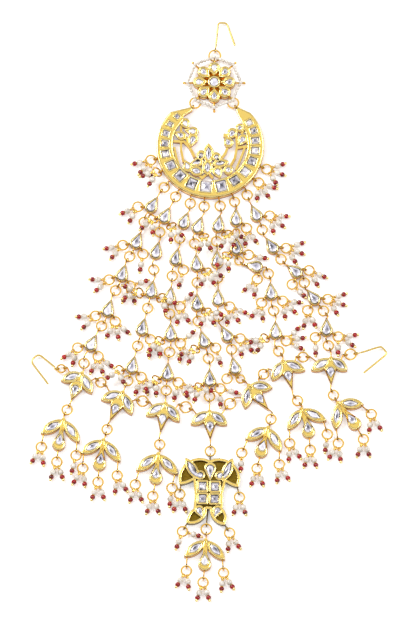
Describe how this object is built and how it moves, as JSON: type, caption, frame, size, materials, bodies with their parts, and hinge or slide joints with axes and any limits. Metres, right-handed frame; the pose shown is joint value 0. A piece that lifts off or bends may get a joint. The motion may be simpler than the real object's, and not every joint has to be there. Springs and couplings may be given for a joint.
{
  "type": "passa jhoomar headpiece",
  "caption": "Side headpiece lying fanned out: flower rosette, pierced crescent and strands of drop settings with pearl clusters, ending in trefoils, a centre pendant and three hair hooks.",
  "frame": {"origin": "centre of the bounding box, on the surface that the piece lies on", "axes": "+Y from the lowest trefoils up to the top hook, +Z out of the faces of the stones, up from the surface"},
  "size_m": [0.132, 0.2255, 0.005],
  "materials": {
    "gold_setting": "polished gold plate",
    "gold_ring": "polished gold plate",
    "gold_wire": "polished gold plate",
    "clear_stone": "faceted, foil backed",
    "seed_pearl": "pearl lustre",
    "small_pearl": "pearl lustre"
  },
  "bodies": {
    "root": {"crescent_drops": "seed_pearl", "crescent_setting": "gold_setting", "crescent_stones": "clear_stone", "left_hook": "gold_wire", "lower_drops_1": "seed_pearl", "lower_drops_2": "seed_pearl", "lower_drops_3": "seed_pearl", "lower_drops_4": "seed_pearl", "lower_drops_5": "seed_pearl", "lower_drops_6": "seed_pearl", "lower_drops_7": "seed_pearl", "lower_trefoil_1": "gold_setting", "lower_trefoil_2": "gold_setting", "lower_trefoil_3": "gold_setting", "lower_trefoil_4": "gold_setting", "lower_trefoil_5": "gold_setting", "lower_trefoil_6": "gold_setting", "lower_trefoil_7": "gold_setting", "lower_trefoil_stones": "clear_stone", "pendant_drops": "seed_pearl", "pendant_setting": "gold_setting", "pendant_stones": "clear_stone", "right_hook": "gold_wire", "rosette_pearl_string": "small_pearl", "rosette_rings": "gold_ring", "rosette_setting": "gold_setting", "strand_1": "gold_setting", "strand_1_drops": "seed_pearl", "strand_1_rings": "gold_ring", "strand_2": "gold_setting", "strand_2_drops": "seed_pearl", "strand_2_rings": "gold_ring", "strand_3": "gold_setting", "strand_3_drops": "seed_pearl", "strand_3_rings": "gold_ring", "strand_4": "gold_setting", "strand_4_drops": "seed_pearl", "strand_4_rings": "gold_ring", "strand_5": "gold_setting", "strand_5_drops": "seed_pearl", "strand_5_rings": "gold_ring", "strand_6": "gold_setting", "strand_6_drops": "seed_pearl", "strand_6_rings": "gold_ring", "strand_7": "gold_setting", "strand_7_drops": "seed_pearl", "strand_7_rings": "gold_ring", "top_hook": "gold_wire", "trefoil_rings": "gold_ring", "upper_trefoil_1": "gold_setting", "upper_trefoil_2": "gold_setting", "upper_trefoil_3": "gold_setting", "upper_trefoil_4": "gold_setting", "upper_trefoil_5": "gold_setting", "upper_trefoil_6": "gold_setting", "upper_trefoil_7": "gold_setting", "upper_trefoil_stones": "clear_stone"}
  },
  "joints": []
}
